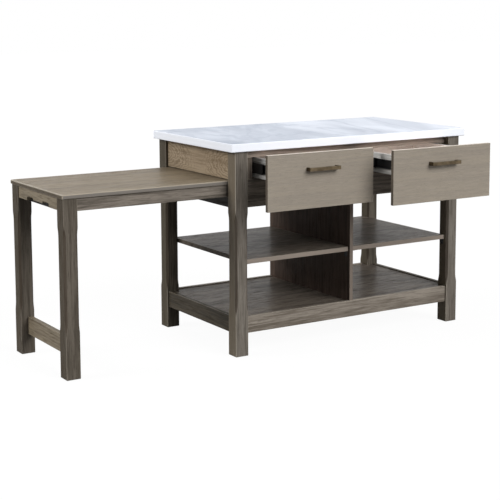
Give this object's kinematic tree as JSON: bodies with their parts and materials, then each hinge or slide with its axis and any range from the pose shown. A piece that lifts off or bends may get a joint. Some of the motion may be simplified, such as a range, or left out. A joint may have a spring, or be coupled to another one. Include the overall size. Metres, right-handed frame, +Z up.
{
  "type": "kitchen island unit",
  "caption": "Kitchen island with a marble worktop, drawers, open shelves and a dining leaf on its own legs that slides in under the drawers.",
  "frame": {"origin": "on the floor, under the centre of the bounding box of the whole unit as it stands at rest, with the leaf pulled out and both drawers part open", "axes": "+X along the island's length, away from the leaf; -Y is the front, towards which the drawers open; +Z up"},
  "size_m": [1.989, 0.999, 0.914],
  "materials": {
    "marble": "honed white marble with faint blue-grey veins",
    "leg_oak": "grey-brown stain on open-grained oak, satin lacquer, grain upright",
    "rail_oak": "grey-brown stain on open-grained oak, satin lacquer, grain along the rail",
    "panel_oak": "warmer grey-brown stain on oak veneer with cathedral grain, satin lacquer",
    "shelf_oak": "dark grey-brown stained oak veneer, semi-gloss lacquer",
    "front_oak": "light grey-beige stain on oak veneer, grain along the front, satin lacquer",
    "leaf_oak": "light grey-brown stained oak veneer, grain along the leaf, satin lacquer",
    "drawer_board": "plain sanded birch ply, pale grey",
    "drawer_lining": "smooth pale pinkish-beige foil on thin board",
    "hardwood": "plain unstained hardwood",
    "slide_steel": "black zinc-plated steel, low sheen",
    "bracket_steel": "black powder coat on folded steel",
    "antique_brass": "brushed antique brass, darkened",
    "screw_steel": "zinc-plated steel",
    "glide_plastic": "black nylon"
  },
  "bodies": {
    "root": {"marble_top": "marble", "leg_front_left": "leg_oak", "leg_front_right": "leg_oak", "leg_back_left": "leg_oak", "leg_back_right": "leg_oak", "leg_glides": "glide_plastic", "side_panel_left": "panel_oak", "leaf_slot_rail": "rail_oak", "side_panel_right": "panel_oak", "back_panel": "panel_oak", "case_top_rail": "rail_oak", "case_lower_board": "rail_oak", "stile_left": "rail_oak", "stile_centre": "rail_oak", "stile_right": "rail_oak", "case_floor": "shelf_oak", "slide_cleat_left": "hardwood", "slide_cleat_centre": "hardwood", "slide_cleat_right": "hardwood", "slide_cabinet_members": "slide_steel", "leaf_runner_front": "hardwood", "leaf_runner_back": "hardwood", "corner_blocks": "hardwood", "divider": "shelf_oak", "mid_shelf_left": "shelf_oak", "mid_shelf_right": "shelf_oak", "shelf_brackets": "bracket_steel", "bottom_shelf": "shelf_oak", "bottom_rail_front": "rail_oak", "bottom_rail_back": "rail_oak", "bottom_rail_left": "rail_oak", "bottom_rail_right": "rail_oak"},
    "drawer_left": {"drawer_left_front": "front_oak", "drawer_left_side_left": "drawer_board", "drawer_left_side_right": "drawer_board", "drawer_left_ends": "drawer_board", "drawer_left_bottom": "drawer_lining", "drawer_left_pull": "antique_brass", "drawer_left_pull_screws": "screw_steel", "drawer_left_slide_members": "slide_steel"},
    "drawer_left_mid": {"drawer_left_slide_mid": "slide_steel"},
    "drawer_right": {"drawer_right_front": "front_oak", "drawer_right_side_left": "drawer_board", "drawer_right_side_right": "drawer_board", "drawer_right_ends": "drawer_board", "drawer_right_bottom": "drawer_lining", "drawer_right_pull": "antique_brass", "drawer_right_pull_screws": "screw_steel", "drawer_right_slide_members": "slide_steel"},
    "drawer_right_mid": {"drawer_right_slide_mid": "slide_steel"},
    "leaf": {"leaf_top": "leaf_oak", "leaf_apron_front": "rail_oak", "leaf_apron_back": "rail_oak", "leaf_apron_end": "rail_oak", "leaf_cross_rail": "rail_oak", "leaf_leg_front": "leg_oak", "leaf_leg_back": "leg_oak", "leaf_stretcher": "rail_oak", "leaf_stops": "hardwood", "leaf_glides": "glide_plastic"}
  },
  "joints": [
    {"name": "drawer_left_slide", "type": "slide", "parent": "root", "child": "drawer_left", "axis": [0, -1, 0], "range_m": [-0.16, 0.27]},
    {"name": "drawer_left_mid_slide", "type": "slide", "parent": "root", "child": "drawer_left_mid", "axis": [0, -1, 0], "range_m": [-0.08, 0.135]},
    {"name": "drawer_right_slide", "type": "slide", "parent": "root", "child": "drawer_right", "axis": [0, -1, 0], "range_m": [-0.296, 0.134]},
    {"name": "drawer_right_mid_slide", "type": "slide", "parent": "root", "child": "drawer_right_mid", "axis": [0, -1, 0], "range_m": [-0.148, 0.067]},
    {"name": "leaf_slide", "type": "slide", "parent": "root", "child": "leaf", "axis": [-1, 0, 0], "range_m": [-0.69, 0]}
  ],
  "couplings": [
    {"joint": "drawer_left_mid_slide", "follows": "drawer_left_slide", "ratio": 0.5},
    {"joint": "drawer_right_mid_slide", "follows": "drawer_right_slide", "ratio": 0.5}
  ]
}
